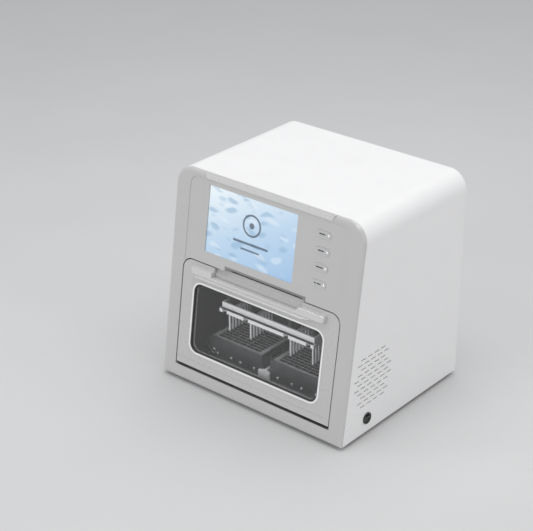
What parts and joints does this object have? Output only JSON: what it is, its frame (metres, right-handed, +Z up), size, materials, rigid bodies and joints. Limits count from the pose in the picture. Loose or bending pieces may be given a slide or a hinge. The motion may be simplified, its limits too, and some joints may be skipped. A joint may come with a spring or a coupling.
{
  "type": "nucleic acid extractor",
  "caption": "Bench-top nucleic acid extractor: leaning front with colour screen, keys and a drop-down windowed door, over lifting magnet rods and a sliding plate carrier.",
  "frame": {"origin": "centre of the bounding box's footprint, at the underside of the feet", "axes": "+Z up, the front with the screen and the door faces -Y, and the side with the mains switch faces +X"},
  "size_m": [0.4533, 0.3744, 0.436],
  "materials": {
    "cover_paint": "fine-textured powder coat, warm white",
    "zinc_sheet": "zinc-plated sheet steel",
    "bezel_plastic": "fine-grained moulding, warm grey",
    "door_plastic": "fine-grained moulding, light warm grey",
    "handle_plastic": "smooth satin moulding, light grey",
    "trim_plastic": "smooth, near white",
    "pane_plastic": "clear smoked acrylic",
    "screen_glass": "smooth cover glass over a lit display",
    "key_rubber": "satin, light grey",
    "seal_rubber": "matt black",
    "foot_rubber": "matt black",
    "liner_paint": "matt dark grey",
    "frame_paint": "dark grey powder coat",
    "carriage_metal": "dark anodised",
    "rack_metal": "light satin anodised",
    "block_metal": "fine machined, clear anodised",
    "rail_steel": "ground and oiled",
    "shaft_steel": "hard-chromed and ground",
    "screw_steel": "rolled thread",
    "rod_steel": "polished stainless sleeve",
    "strip_plastic": "black engineering plastic",
    "carrier_metal": "black anodised",
    "heater_metal": "fine milled",
    "bronze": "sintered bearing bronze",
    "motor_paint": "black stack between machined end bells",
    "board_green": "solder-masked circuit board",
    "module_metal": "thin bent sheet",
    "lamp_glass": "clear quartz tube",
    "socket_ceramic": "glazed white",
    "black_plastic": "fine-grained black moulding",
    "rocker_plastic": "polished black",
    "screw_zinc": "zinc-plated",
    "magnet_nickel": "nickel-plated"
  },
  "bodies": {
    "housing": {"base_pan": "zinc_sheet", "outer_cover": "cover_paint", "rear_panel": "cover_paint", "front_bezel": "bezel_plastic", "screen_glass": "screen_glass", "display_module": "module_metal", "key_board": "board_green", "hinge_pins": "rail_steel", "hinge_blocks": "block_metal", "catch_magnets": "magnet_nickel", "chamber_liner": "liner_paint", "gantry_plate": "frame_paint", "lift_rails": "rail_steel", "lift_screw_blocks": "block_metal", "lift_bracket": "block_metal", "lift_motor": "motor_paint", "guide_shafts": "shaft_steel", "shaft_supports": "block_metal", "deck_motor": "motor_paint", "uv_lamp": "lamp_glass", "uv_sockets": "socket_ceramic", "power_supply": "module_metal", "main_board": "board_green", "fan_frame": "black_plastic", "power_inlet": "black_plastic", "switch_housing": "black_plastic", "feet": "foot_rubber", "panel_screws": "screw_zinc"},
    "door": {"door_frame": "door_plastic", "door_handle": "handle_plastic", "door_liner": "door_plastic", "window_trim": "trim_plastic", "window_pane": "pane_plastic", "door_seal": "seal_rubber"},
    "key_1": {"key_1": "key_rubber"},
    "key_2": {"key_2": "key_rubber"},
    "key_3": {"key_3": "key_rubber"},
    "key_4": {"key_4": "key_rubber"},
    "sleeve_head": {"sleeve_carriage": "carriage_metal", "lift_bearings": "rail_steel", "comb_rack": "rack_metal", "rack_frame": "rack_metal", "magnet_rails": "rail_steel", "magnet_motor": "motor_paint", "magnet_screw_block": "block_metal"},
    "magnet_head": {"magnet_carriage": "carriage_metal", "magnet_bearings": "rail_steel", "magnet_plate": "block_metal", "rod_strips": "strip_plastic", "magnet_rods": "rod_steel"},
    "lift_screw": {"lift_screw": "screw_steel"},
    "magnet_screw": {"magnet_screw": "screw_steel"},
    "carrier": {"plate_carrier": "carrier_metal", "heater_strips": "heater_metal", "carrier_bushings": "bronze", "latch_block": "heater_metal"},
    "deck_screw": {"deck_screw": "screw_steel"},
    "fan_rotor": {"fan_rotor": "black_plastic"},
    "rocker": {"rocker": "rocker_plastic"}
  },
  "joints": [
    {"name": "door_hinge", "type": "hinge", "parent": "housing", "child": "door", "pos_m": [0, -0.1743, 0.044], "axis": [1, 0, 0], "range_deg": [0, 95]},
    {"name": "key_1_press", "type": "slide", "parent": "housing", "child": "key_1", "axis": [0, 0.99, -0.1409], "range_m": [0, 0.0008], "stiffness_N_per_m": 400},
    {"name": "key_2_press", "type": "slide", "parent": "housing", "child": "key_2", "axis": [0, 0.99, -0.1409], "range_m": [0, 0.0008], "stiffness_N_per_m": 400},
    {"name": "key_3_press", "type": "slide", "parent": "housing", "child": "key_3", "axis": [0, 0.99, -0.1409], "range_m": [0, 0.0008], "stiffness_N_per_m": 400},
    {"name": "key_4_press", "type": "slide", "parent": "housing", "child": "key_4", "axis": [0, 0.99, -0.1409], "range_m": [0, 0.0008], "stiffness_N_per_m": 400},
    {"name": "head_lift", "type": "slide", "parent": "housing", "child": "sleeve_head", "axis": [0, 0, 1], "range_m": [-0.052, 0.012]},
    {"name": "magnet_lift", "type": "slide", "parent": "sleeve_head", "child": "magnet_head", "axis": [0, 0, 1], "range_m": [0, 0.048]},
    {"name": "lift_screw_spin", "type": "hinge", "parent": "housing", "child": "lift_screw", "pos_m": [0, -0.0095, 0.238], "axis": [0, 0, 1], "range_deg": [-1880, 440]},
    {"name": "magnet_screw_spin", "type": "hinge", "parent": "sleeve_head", "child": "magnet_screw", "pos_m": [0.05, -0.027, 0.248], "axis": [0, 0, 1], "range_deg": [-5, 1740]},
    {"name": "deck_slide", "type": "slide", "parent": "housing", "child": "carrier", "axis": [1, 0, 0], "range_m": [-0.0225, 0.0225]},
    {"name": "deck_screw_spin", "type": "hinge", "parent": "housing", "child": "deck_screw", "pos_m": [0, -0.086, 0.033], "axis": [1, 0, 0], "range_deg": [-815, 815]},
    {"name": "fan_spin", "type": "hinge", "parent": "housing", "child": "fan_rotor", "pos_m": [-0.1, 0.1715, 0.243], "axis": [0, 1, 0], "continuous": true},
    {"name": "rocker_tilt", "type": "hinge", "parent": "housing", "child": "rocker", "pos_m": [0.218, -0.1095, 0.037], "axis": [0, -1, 0], "range_deg": [0, 18]}
  ],
  "couplings": [
    {"joint": "lift_screw_spin", "follows": "head_lift", "rad_per_m": 628.32},
    {"joint": "magnet_screw_spin", "follows": "magnet_lift", "rad_per_m": 628.32},
    {"joint": "deck_screw_spin", "follows": "deck_slide", "rad_per_m": 628.32}
  ]
}
